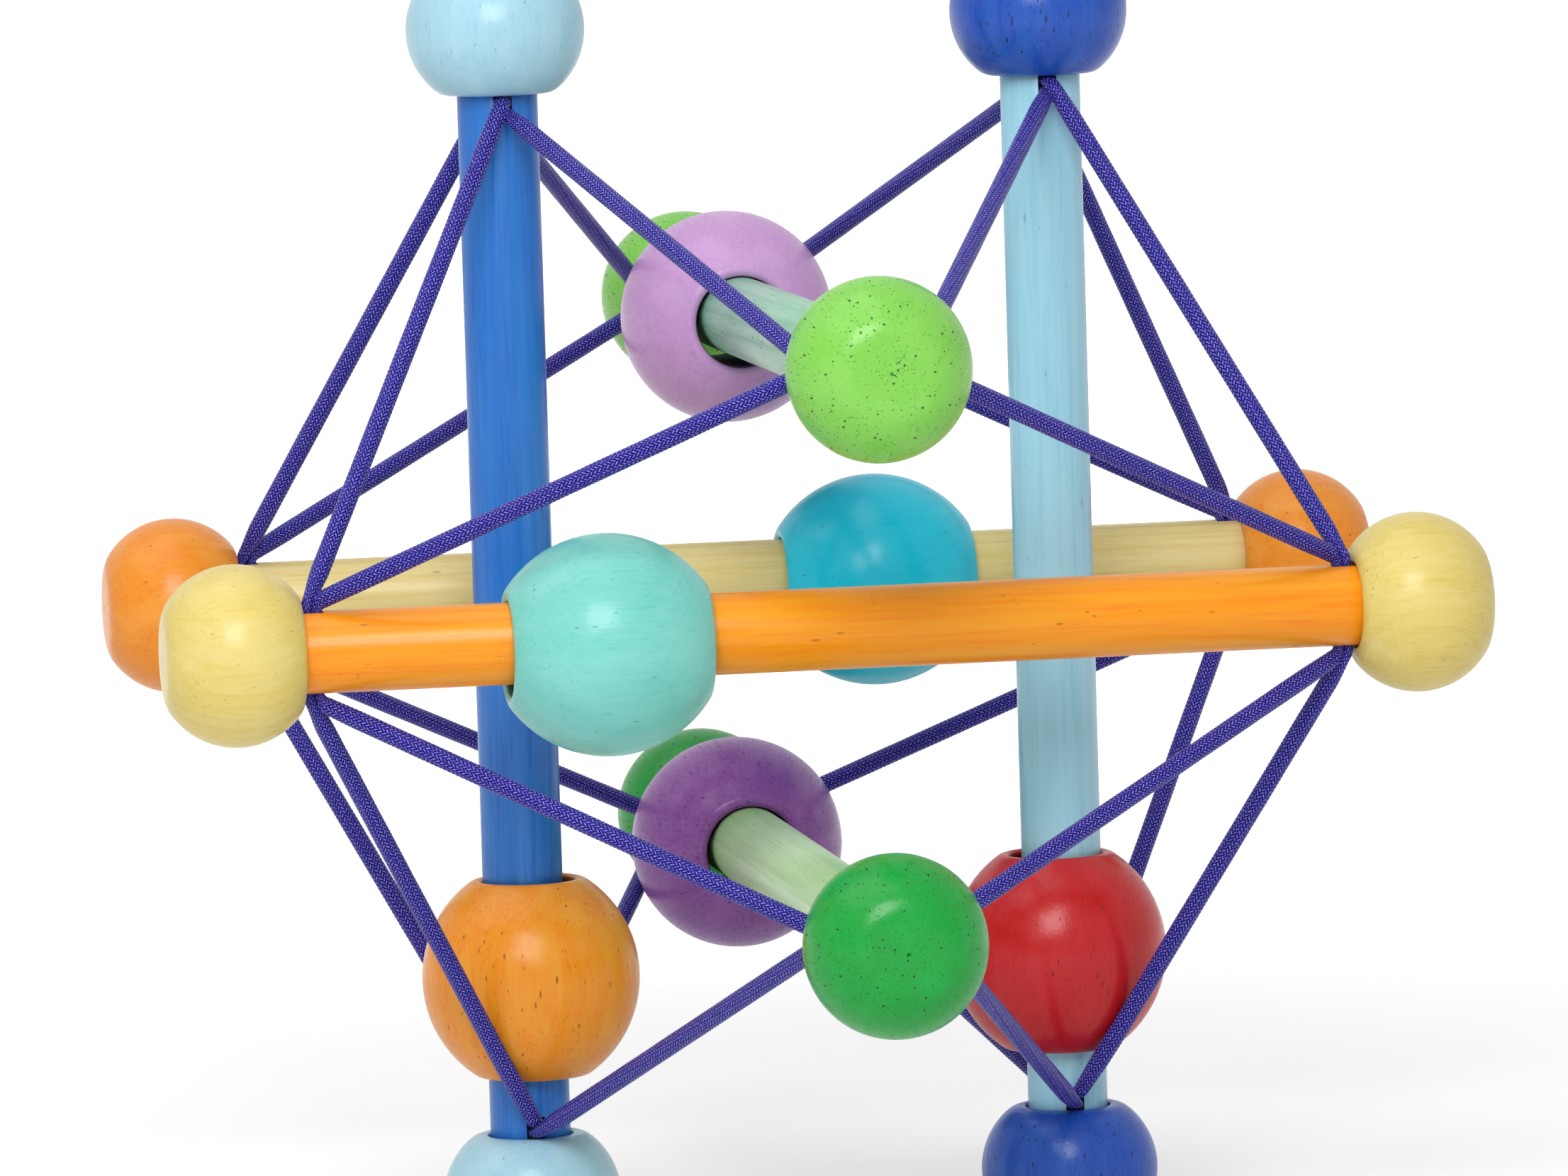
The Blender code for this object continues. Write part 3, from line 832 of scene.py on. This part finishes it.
def stained_wood(name, slot, colours, middle, turn, seed, bore=0.0):
    """Rubberwood, turned on a lathe, stained right through its surface and lacquered.

    The stain hides most of the wood's own colour. The grain still shows as fine lines
    along the dowel, its open pores as dots on end grain and short dashes on the sides,
    and the satin lacquer lies over all of it with soft highlights. The wall of a bore is
    bare of lacquer, and painted darker: partly where the stain sank in, partly as
    painted shade inside the bore.
    """
    finish = STAINS[slot]
    stain = getattr(colours, slot)
    material, shader, add = new_material(name)

    # The piece's own place in millimetres, with the grain along Z
    unturned = turn.to_3x3().inverted()
    own_place = add("Mapping", {
        "Vector": add("TexCoord")["Object"],
        "Location": -(unturned @ middle) / MILLIMETRE,
        "Rotation": unturned.to_euler(),
        "Scale": (1 / MILLIMETRE,) * 3,
    })[0]
    flat_place = add("Mapping", {"Vector": own_place, "Scale": (1, 1, 0)})[0]
    from_axis = add("VectorMath", (flat_place,), operation="LENGTH")["Value"]
    place = add("Mapping", {"Vector": own_place, "Location": seed})[0]
    fibres, clouds, rings = wood_figure(add, place)
    pores = wood_pores(add, place, from_axis, finish)

    # Colour: dye deepens as light passes through more of it, so a deep streak is the
    # stain raised to a higher power and a thin one to a lower power
    bare = [c * 0.6 for c in colours.bare_wood]
    deep = shade([c ** 1.5 for c in stain], 0.5 * finish.warmth, bare)
    thin = shade([c ** 0.8 for c in stain], 0.4 * finish.warmth, (0.9, 0.82, 0.66))
    # The bore's wall is darkened: partly the stain that sank in, partly painted shade inside the
    # bore
    soaked_and_painted_shade = shade([c ** 1.5 for c in stain], 0.6)
    wall = bore / 2 / MILLIMETRE
    bored = add("MapRange", (from_axis, wall + 0.05, wall + 0.25, 1, 0), **EASED)[0]
    streaked = add("MapRange", (fibres, 0.46, 0.74, 0, finish.streaks), **EASED)[0]
    clouded = add("MapRange", (clouds, 0.44, 0.70, 0, finish.streaks), **EASED)[0]
    ringed = add("MapRange", (rings, 0.55, 1, 0, 0.6 * finish.ripple), **EASED)[0]
    colour = list(stain) + [1]
    for share, other in ((streaked, deep), (clouded, thin), (ringed, deep),
                         (pores, shade(stain, finish.pit)), (bored, soaked_and_painted_shade)):
        colour = add("Mix", {SHARE: share, FIRST: colour, SECOND: other}, **COLOURS)[2]

    # Relief: raised fibres, a fine orange peel in the lacquer, and pores that it left open
    peel = add("TexNoise", {"Vector": place, "Scale": 2.6, "Detail": 1.5})[0]
    ridges = add("Math", (fibres, 0.38), **TIMES)[0]
    dimples = add("Math", (peel, 0.40), **TIMES)[0]
    raised = add("Math", (ridges, dimples), **PLUS)[0]
    relief = add("Math", (raised, pores), **MINUS)[0]
    bump = add("Bump", {"Height": relief, "Strength": 0.6, "Distance": 0.06 * MILLIMETRE})[0]
    set_inputs(shader, {
        "Base Color": colour,
        "Normal": bump,
        "Coat Normal": bump,
        "Roughness": add("MapRange", (fibres, 0.3, 0.7, 0.50, 0.62), **EASED)[0],
        "Specular IOR Level": 0.10,
        "Coat Weight": add("MapRange", (bored, 0, 1, 0.55, 0), **EASED)[0],
        "Coat Roughness": 0.24,
        "Coat IOR": 1.5,
    })
    return material


def stitch_height(add, place, strands):
    """How high the braid stands, from its map: round the cord in X, along it in Y.

    Every other column leans the other way and starts half a stitch later.
    """
    parts = add("SeparateXYZ", (place,))
    across = add("Math", (parts[0], strands), **TIMES)[0]
    column = add("Math", (across,), operation="FLOOR")[0]
    inside = add("Math", (across, column), **MINUS)[0]
    offset = add("Math", (inside, 0.5), **MINUS)[0]
    odd = add("Math", (column, 2), operation="MODULO")[0]
    doubled = add("Math", (odd, 2), **TIMES)[0]
    lean = add("Math", (doubled, 1), **MINUS)[0]
    leaning = add("Math", (lean, offset), **TIMES)[0]
    slant = add("Math", (leaning, STITCH_SLANT), **TIMES)[0]
    slanted = add("Math", (parts[1], slant), **PLUS)[0]
    start = add("Math", (odd, 0.5), **TIMES)[0]
    shifted = add("Math", (slanted, start), **PLUS)[0]
    turn = add("Math", (shifted, 2 * pi), **TIMES)[0]
    wave = add("Math", (turn,), operation="COSINE")[0]
    stitch = add("MapRange", (wave, -0.7, 0.8), **EASED)[0]
    squared = add("Math", (offset, offset), **TIMES)[0]
    fallen = add("Math", (squared, 4), **TIMES)[0]
    level = add("Math", (1, fallen), **MINUS)[0]
    crown = add("Math", (level, 0.45), operation="POWER")[0]
    return add("Math", (stitch, crown), **TIMES)[0]


def braided_elastic(colours, cord):
    """Elastic cord: rubber inside a sleeve of dyed polyester filament, braided.

    The sleeve shows as columns of short slanted stitches, which lean one way and the
    other in turn. The filament is glossy through its tinted specular. Besides, the crest
    of every stitch is painted pale violet as a painted highlight, whichever way it faces
    the lamps, and the gaps between stitches are painted nearly black as painted shade.
    A real stitch is about 0.5 mm long, too fine to show in the render, so it is drawn
    0.55 mm long.
    """
    material, shader, add = new_material("braided_elastic_polyester")
    painted_gap_shade, strand, sheen = (list(colour) + [1] for colour in
                          (colours.strand_gap_shade, colours.strand, colours.strand_sheen))
    place = add("UVMap", uv_map="braid")[0]
    height = stitch_height(add, place, float(cord.strands))

    # Painted highlight: specks vary from stitch to stitch how much of a crest is painted pale
    # violet, as if single filaments caught the light unevenly
    specks = add("TexNoise", {
        "Vector": add("Mapping", {"Vector": place, "Scale": (cord.strands, 1, 1)})[0],
        "Scale": 1.3, "Detail": 2, "Roughness": 0.6,
    })[0]
    # Painted shade: the gaps between the stitches are painted nearly black, and the strands' own
    # colour fills in as they rise
    filled = add("MapRange", (height, 0.05, 0.70), **EASED)[0]
    strands_with_painted_shade = add("Mix", {SHARE: filled, FIRST: painted_gap_shade, SECOND: strand}, **COLOURS)[2]
    # Painted highlight: the crests of the stitches are mixed towards the sheen colour in the base
    # colour
    crest = add("MapRange", (height, 0.45, 0.95), **EASED)[0]
    painted_glint = add("MapRange", (specks, 0.38, 0.60, 0.2, 1), **EASED)[0]
    painted_highlight = add("Math", (crest, painted_glint), **TIMES)[0]
    set_inputs(shader, {
        "Base Color": add("Mix", {SHARE: painted_highlight, FIRST: strands_with_painted_shade, SECOND: sheen}, **COLOURS)[2],
        "Normal": add("Bump", {"Height": height, "Strength": 1, "Distance": 0.1 * MILLIMETRE})[0],
        "Roughness": 0.36,
        "Specular IOR Level": 0.42,
        "Specular Tint": sheen,
    })
    return material


# Operators


def add_turned(pattern, name, node, body, slot, turn, middle, seed, bore=0.0):
    """Copy a turned shape to its place, stain it and let it stand for its node."""
    piece = copy_of(pattern, name)
    settle(piece, Matrix.Translation(middle) @ turn)
    colours = bpy.context.scene.rattle.colours
    paint(piece, stained_wood(slot + "_" + name, slot, colours, middle, turn, seed, bore))
    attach(piece, body)
    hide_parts(node)


class RATTLE_OT_add_dowels(bpy.types.Operator):
    """Model the six dowels with their slots."""

    bl_idname = "rattle.add_dowels"
    bl_label = "Add the dowels"

    def execute(self, context):
        dowel = context.scene.rattle.dowel
        pattern = model_dowel(dowel)
        for number, strut in enumerate(STRUTS):
            add_turned(pattern, strut.name + "_dowel", strut.name + "_rod", strut.body,
                       strut.rod_slot, strut_turn(strut), strut_middle(strut, dowel),
                       DOWEL_SEED * number)
        remove(pattern)
        return {"FINISHED"}


class RATTLE_OT_add_knobs(bpy.types.Operator):
    """Model the twelve turned knobs."""

    bl_idname = "rattle.add_knobs"
    bl_label = "Add the knobs"

    def execute(self, context):
        settings = context.scene.rattle
        pattern = model_knob(settings.knob)
        widest = settings.knob.end - settings.knob.end_rise
        for number, strut in enumerate(STRUTS):
            for end, end_name in zip((1, -1), strut.ends):
                turn = strut_turn(strut)
                if end < 0:
                    turn = turn @ Matrix.Rotation(pi, 4, "X")
                middle = strut_middle(strut, settings.dowel) + strut_axes(strut)[0] * end * widest
                add_turned(pattern, f"{strut.name}_{end_name}_knob",
                           f"{strut.name}_rod_{end_name}_knob", strut.body,
                           strut.knob_slot, turn, middle,
                           KNOB_SEED * number + KNOB_END_SEED * end)
        remove(pattern)
        return {"FINISHED"}


class RATTLE_OT_add_beads(bpy.types.Operator):
    """Model the six turned beads."""

    bl_idname = "rattle.add_beads"
    bl_label = "Add the beads"

    def execute(self, context):
        bead = context.scene.rattle.bead
        pattern = model_bead(bead)
        for number, strut in enumerate(STRUTS):
            add_turned(pattern, "turned_" + strut.bead, strut.bead, strut.bead,
                       strut.bead_slot, strut_turn(strut), node_middle(strut.bead),
                       BEAD_SEED * number, bead.bore)
        remove(pattern)
        return {"FINISHED"}


class RATTLE_OT_add_cords(bpy.types.Operator):
    """Model the six loops of braided elastic cord."""

    bl_idname = "rattle.add_cords"
    bl_label = "Add the cords"

    def execute(self, context):
        settings = context.scene.rattle
        cord = settings.cord
        material = braided_elastic(settings.colours, cord)
        for strut in STRUTS:
            node = strut.name + "_rod_cord_loop"
            slots = cord_slots(strut, cord, settings.dowel)
            points = rounded_path(cord_corners(strut, cord, settings.dowel, settings.bead))
            if strut.along == "y":
                # The loop is cut into two halves at the middle, one on either side
                for side, side_name, group in ((-1, "left", "blue_rod_group"),
                                               (1, "right", "sky_rod_group")):
                    piece = braided_tube(f"{strut.name}_{side_name}_elastic",
                                         half_loop(points, side), False, cord, slots)
                    dress_cord(piece, node, material)
                    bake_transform(piece)
                continue
            piece = braided_tube(strut.name + "_elastic", points, True, cord, slots)
            dress_cord(piece, node, material)
            if strut.body == "rod_frame":
                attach(piece, "rod_frame")
            else:
                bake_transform(piece)
        return {"FINISHED"}


def dress_cord(piece, node, material):
    """Give a cord its material and let it stand for its node."""
    paint(piece, material)
    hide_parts(node)


def half_loop(points, side):
    """The half of a loop on one side of the middle, from slot to slot."""
    inside = points[:, 0] * side > 0
    start = next(i for i, kept in enumerate(inside) if kept and not inside[i - 1])
    half = np.roll(points, -start, axis=0)[:inside.sum()]
    ends = half[[0, -1]]
    ends[:, 0] = side * HALF_GAP
    return np.vstack([ends[:1], half, ends[1:]])


class RATTLE_OT_add_stage(bpy.types.Operator):
    """Set up the floor, the soft studio light and the camera."""

    bl_idname = "rattle.add_stage"
    bl_label = "Add the stage"

    def execute(self, context):
        studio = context.scene.rattle.studio
        add_floor(studio)
        add_world(studio)
        add_lamps(studio)
        add_camera(studio)
        context.scene.view_settings.view_transform = "Standard"
        return {"FINISHED"}


def seen_directly(add):
    """One for a ray from the eye, a mirror or glass, and nought for the light itself."""
    rays = add("LightPath")
    seen = rays["Is Camera Ray"]
    for way in ("Is Glossy Ray", "Is Transmission Ray"):
        seen = add("Math", (seen, rays[way]), operation="MAXIMUM")[0]
    return seen


def add_floor(studio):
    """White paper under the two lower knobs, lifted to pure white away from the toy.

    The real floor is overexposed, so that only the faintest shadow is left of it.
    """
    floor = new_primitive(bpy.ops.mesh.primitive_plane_add, "studio_floor",
                          size=studio.floor_size, location=(0, 0, box_at_load[0].z))
    settle(floor)
    material, shader, add = new_material("matt_white_paper")
    white = linear_colour("#F7F7F7") + [1]
    set_inputs(shader, {"Base Color": white, "Roughness": 0.9, "Specular IOR Level": 0.1})
    away = add("VectorMath", (add("TexCoord")["Object"],), operation="LENGTH")["Value"]
    glow = add("MapRange", (away, studio.glow_start, studio.glow_end,
                            studio.near_glow, studio.far_glow), **EASED)[0]
    strength = add("Math", (seen_directly(add), glow), **TIMES)[0]
    lift = add("Emission", {"Strength": strength})[0]
    both = add("AddShader", (shader.outputs[0], lift))[0]
    set_inputs(material.node_tree.nodes["Material Output"], {"Surface": both})
    paint(floor, material)


def add_world(studio):
    """Even light from all round, with a white background for the eye and for gloss."""
    world = bpy.data.worlds.new("studio_world")
    bpy.context.scene.world = world
    world.use_nodes = True
    add = partial(add_node, world.node_tree)
    strength = add("MapRange", (seen_directly(add), 0, 1, studio.sky_strength, 1))[0]
    background = world.node_tree.nodes["Background"]
    set_inputs(background, {"Color": (1, 1, 1, 1), "Strength": strength})


def view_axes(studio):
    """The camera's right, up and backward vectors."""
    flat = cos(studio.elevation)
    back = Vector((-sin(studio.yaw) * flat, -cos(studio.yaw) * flat, sin(studio.elevation)))
    right = (-back).cross(Vector((0, 0, 1))).normalized()
    up = right.cross(-back)
    lean_right = right * cos(studio.roll) - up * sin(studio.roll)
    lean_up = up * cos(studio.roll) + right * sin(studio.roll)
    return lean_right, lean_up, back


def add_softbox(name, direction, distance, width, power):
    """A square softbox that faces the toy."""
    lamp = bpy.data.lights.new(name, "AREA")
    lamp.shape = "SQUARE"
    lamp.size = width
    lamp.energy = power
    box = bpy.data.objects.new(name, lamp)
    bpy.context.scene.collection.objects.link(box)
    towards = Vector(direction).normalized()
    box.location = towards * distance
    box.rotation_euler = towards.to_track_quat("Z", "Y").to_euler()


def add_lamps(studio):
    """A main softbox over the camera and a wide one overhead, a little to the left."""
    right, up, back = view_axes(studio)
    key = back * cos(KEY_RISE) + up * sin(KEY_RISE) - right * KEY_LEFT
    top = back * TOP_BACK + up - right * TOP_LEFT
    add_softbox("key_softbox", key, KEY_DISTANCE, studio.key_size, studio.key_power)
    add_softbox("top_softbox", top, TOP_DISTANCE, studio.top_size, studio.top_power)


def add_camera(studio):
    """The camera at the photograph's angle."""
    right, up, back = view_axes(studio)
    target = Vector((TARGET_X, 0, studio.target_height))
    camera = bpy.data.cameras.new("studio_camera")
    camera.lens = studio.focal_length
    camera.sensor_width = SENSOR_WIDTH
    camera.sensor_fit = "HORIZONTAL"
    camera.clip_end = CLIP_END
    eye = bpy.data.objects.new("studio_camera", camera)
    bpy.context.scene.collection.objects.link(eye)
    turn = Matrix((right, up, back)).transposed().to_4x4()
    eye.matrix_world = Matrix.Translation(target + back * studio.distance) @ turn
    bpy.context.scene.camera = eye


class RATTLE_PT_sidebar(bpy.types.Panel):
    """Lists the rattle's pieces and settings."""

    bl_label = "Wooden rattle"
    bl_idname = "RATTLE_PT_sidebar"
    bl_space_type = "VIEW_3D"
    bl_region_type = "UI"
    bl_category = "Rattle"

    def draw(self, context):
        layout = self.layout
        settings = context.scene.rattle
        for part_name in ("dowel", "knob", "bead", "cord", "colours", "studio"):
            group = getattr(settings, part_name)
            box = layout.box()
            box.label(text=settings.bl_rna.properties[part_name].name)
            for setting in group.bl_rna.properties:
                if setting.identifier not in ("rna_type", "name"):
                    box.prop(group, setting.identifier)
        for operator in STEPS:
            layout.operator(operator.bl_idname)


STEPS = (
    RATTLE_OT_add_stage,
    RATTLE_OT_add_cords,
    RATTLE_OT_add_dowels,
    RATTLE_OT_add_knobs,
    RATTLE_OT_add_beads,
)
CLASSES = (DowelSizes, KnobSizes, BeadSizes, CordSizes, StainColours, StudioSettings,
           RattleSettings) + STEPS + (RATTLE_PT_sidebar,)


def register():
    """Register the classes and the scene's settings."""
    for cls in CLASSES:
        bpy.utils.register_class(cls)
    bpy.types.Scene.rattle = PointerProperty(type=RattleSettings)


def unregister():
    """Take the settings and the classes away again."""
    del bpy.types.Scene.rattle
    for cls in reversed(CLASSES):
        bpy.utils.unregister_class(cls)


def main():
    """Build the whole scene."""
    register()
    bpy.ops.rattle.add_stage()
    bpy.ops.rattle.add_cords()
    bpy.ops.rattle.add_dowels()
    bpy.ops.rattle.add_knobs()
    bpy.ops.rattle.add_beads()


if __name__ == "__main__":
    main()
